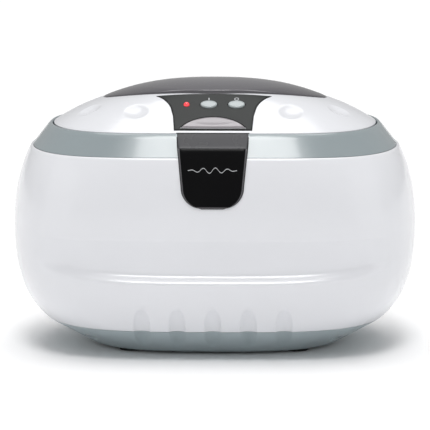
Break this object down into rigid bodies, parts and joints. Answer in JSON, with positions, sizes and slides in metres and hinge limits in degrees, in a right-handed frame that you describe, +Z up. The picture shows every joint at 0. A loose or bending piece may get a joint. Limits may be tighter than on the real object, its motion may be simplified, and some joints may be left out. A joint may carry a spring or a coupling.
{
  "type": "ultrasonic cleaner",
  "caption": "Tabletop ultrasonic cleaner: oval white housing, grey base, steel tank, hinged domed lid with smoked window, buttons and lid release.",
  "frame": {"origin": "middle of the plane that the four rubber feet rest on", "axes": "+X to the object's left-right width, -Y to its front, +Z up"},
  "size_m": [0.205, 0.1421, 0.136],
  "materials": {
    "white_plastic": "glossy moulded shell",
    "grey_plastic": "glossy moulded base",
    "silver_plastic": "glossy grey-green trim",
    "dark_plastic": "satin dark panel",
    "black_gloss": "piano black",
    "smoked_window": "smoked clear plastic",
    "button_plastic": "pale grey cap",
    "release_plastic": "pale satin cap",
    "stainless": "satin drawn steel",
    "rubber": "soft black",
    "seal_rubber": "soft grey",
    "screw_steel": "zinc plated",
    "pin_steel": "ground",
    "inlet_plastic": "fine matt",
    "brass_pin": "plated",
    "alloy": "turned",
    "piezo_ceramic": "fired ceramic",
    "copper_tab": "copper sheet",
    "board": "green board",
    "ferrite": "sintered",
    "winding_tape": "taped winding",
    "can_sleeve": "shrink sleeve",
    "fuse_glass": "clear with metal caps",
    "tin": "tinned",
    "connector_plastic": "natural nylon",
    "wire_cover": "insulation",
    "wire_red": "insulation",
    "liner_plastic": "satin liner",
    "led_red": "clear red",
    "switch_black": "moulded"
  },
  "bodies": {
    "housing": {"body_shell": "white_plastic", "base_cover": "grey_plastic", "trim_ring": "silver_plastic", "front_tongue": "black_gloss", "tank": "stainless", "tank_gasket": "seal_rubber", "rubber_feet": "rubber", "base_screws": "screw_steel", "deck_screws": "screw_steel", "board_screws": "screw_steel", "hinge_pin": "pin_steel", "power_inlet": "inlet_plastic", "inlet_pins": "brass_pin", "transducer_front_mass": "alloy", "piezo_rings": "piezo_ceramic", "electrode_tabs": "copper_tab", "transducer_back_mass": "pin_steel", "transducer_bolt": "screw_steel", "driver_board": "board", "heatsink": "alloy", "power_transistor": "switch_black", "transformer_core": "ferrite", "transformer_winding": "winding_tape", "capacitors": "can_sleeve", "fuse": "fuse_glass", "fuse_clips": "tin", "connectors": "connector_plastic", "mains_leads": "wire_cover", "transducer_leads": "wire_red", "lid_lead": "wire_cover"},
    "lid": {"lid_shell": "white_plastic", "window": "smoked_window", "control_panel": "dark_plastic", "lid_liner": "liner_plastic", "lid_seal": "seal_rubber", "release_spring": "pin_steel", "led": "led_red", "switch_board": "board", "tact_switches": "switch_black"},
    "on_button": {"on_button": "button_plastic"},
    "off_button": {"off_button": "button_plastic"},
    "release_button": {"release_button": "release_plastic"}
  },
  "joints": [
    {"name": "lid_hinge", "type": "hinge", "parent": "housing", "child": "lid", "pos_m": [0, 0.0605, 0.1125], "axis": [-1, 0, 0], "range_deg": [0, 95]},
    {"name": "on_press", "type": "slide", "parent": "lid", "child": "on_button", "axis": [0, 0.521, -0.8536], "range_m": [0, 0.0008], "stiffness_N_per_m": 400, "springref_m": -0.0005},
    {"name": "off_press", "type": "slide", "parent": "lid", "child": "off_button", "axis": [0, 0.521, -0.8536], "range_m": [0, 0.0008], "stiffness_N_per_m": 400, "springref_m": -0.0005},
    {"name": "release_press", "type": "slide", "parent": "lid", "child": "release_button", "axis": [0, 0.521, -0.8536], "range_m": [0, 0.001], "stiffness_N_per_m": 300, "springref_m": -0.001, "deforming": ["release_spring"]}
  ]
}
